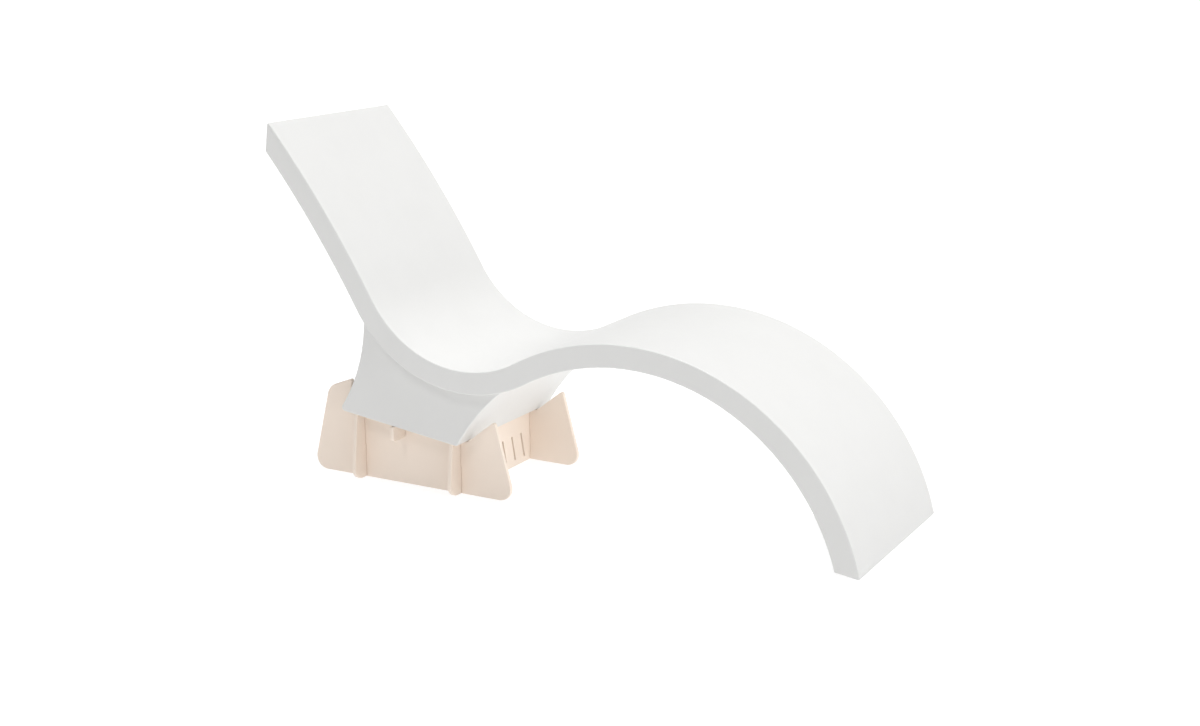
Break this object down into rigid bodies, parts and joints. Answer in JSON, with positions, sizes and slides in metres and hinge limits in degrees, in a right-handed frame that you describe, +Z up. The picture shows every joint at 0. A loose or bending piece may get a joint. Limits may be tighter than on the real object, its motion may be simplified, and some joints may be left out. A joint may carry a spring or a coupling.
{
  "type": "in-pool sun lounger",
  "caption": "Hollow S-curved in-pool sun lounger with a coved pedestal, resting on a riser of interlocking sheet panels; water-fill and vent plugs unscrew.",
  "frame": {"origin": "centre of the bounding box on the floor", "axes": "+X towards the foot end, +Y to the sitter's left, +Z up"},
  "size_m": [1.771, 0.56, 1.0044],
  "materials": {
    "body_plastic": "satin white moulded polyethylene",
    "riser_plastic": "matte sand-beige sheet plastic",
    "port_plastic": "matte light grey-white plastic",
    "washer_rubber": "matte black rubber"
  },
  "bodies": {
    "riser": {"side_panel_left": "riser_plastic", "side_panel_right": "riser_plastic", "middle_brace": "riser_plastic"},
    "front_cross": {"front_cross_panel": "riser_plastic"},
    "rear_cross": {"rear_cross_panel": "riser_plastic"},
    "lounger": {"lounger_shell": "body_plastic", "fill_port_insert": "port_plastic", "vent_port_insert": "port_plastic"},
    "fill_washer_body": {"fill_washer": "washer_rubber"},
    "fill_plug_body": {"fill_plug": "port_plastic"},
    "vent_washer_body": {"vent_washer": "washer_rubber"},
    "vent_plug_body": {"vent_plug": "port_plastic"}
  },
  "joints": [
    {"name": "lounger_lift", "type": "slide", "parent": "riser", "child": "lounger", "axis": [0.1288, 0, 0.9917], "range_m": [0, 0.3]},
    {"name": "front_cross_drop", "type": "slide", "parent": "riser", "child": "front_cross", "axis": [0, 0, -1], "range_m": [0, 0.16]},
    {"name": "rear_cross_drop", "type": "slide", "parent": "riser", "child": "rear_cross", "axis": [0, 0, -1], "range_m": [0, 0.2]},
    {"name": "fill_washer_travel", "type": "slide", "parent": "lounger", "child": "fill_washer_body", "axis": [-0.887, 0, 0.4618], "range_m": [0, 0.018]},
    {"name": "fill_plug_turn", "type": "hinge", "parent": "fill_washer_body", "child": "fill_plug_body", "pos_m": [-0.6518, 0, 0.26949], "axis": [-0.887, 0, 0.4618], "range_deg": [0, 1621]},
    {"name": "vent_washer_travel", "type": "slide", "parent": "lounger", "child": "vent_washer_body", "axis": [-0.7951, 0, -0.6065], "range_m": [0, 0.018]},
    {"name": "vent_plug_turn", "type": "hinge", "parent": "vent_washer_body", "child": "vent_plug_body", "pos_m": [-0.80076, 0, 0.82088], "axis": [-0.7951, 0, -0.6065], "range_deg": [0, 1621]}
  ],
  "couplings": [
    {"joint": "fill_plug_turn", "follows": "fill_washer_travel", "rad_per_m": 1570.8},
    {"joint": "vent_plug_turn", "follows": "vent_washer_travel", "rad_per_m": 1570.8}
  ]
}
